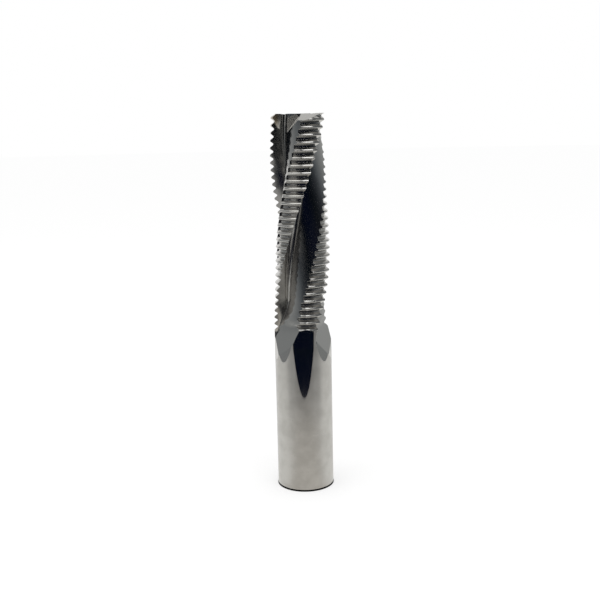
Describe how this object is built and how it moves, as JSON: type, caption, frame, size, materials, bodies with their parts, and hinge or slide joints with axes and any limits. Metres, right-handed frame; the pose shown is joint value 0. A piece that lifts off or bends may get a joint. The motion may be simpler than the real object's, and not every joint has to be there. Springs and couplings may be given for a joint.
{
  "type": "spiral roughing cutter",
  "caption": "Solid carbide roughing end mill with right-hand spiral flutes, ridged cutting lands, a gashed square end and a plain round shank.",
  "frame": {"origin": "centre of the flat shank end, on the cutter's axis", "axes": "+Z along the axis from the shank end to the cutting end, -Y towards the picture's camera"},
  "size_m": [0.016, 0.016, 0.105],
  "materials": {
    "carbide": "ground tungsten carbide, satin on the shank and bright in the flutes"
  },
  "bodies": {
    "root": {"cutter": "carbide"}
  },
  "joints": []
}
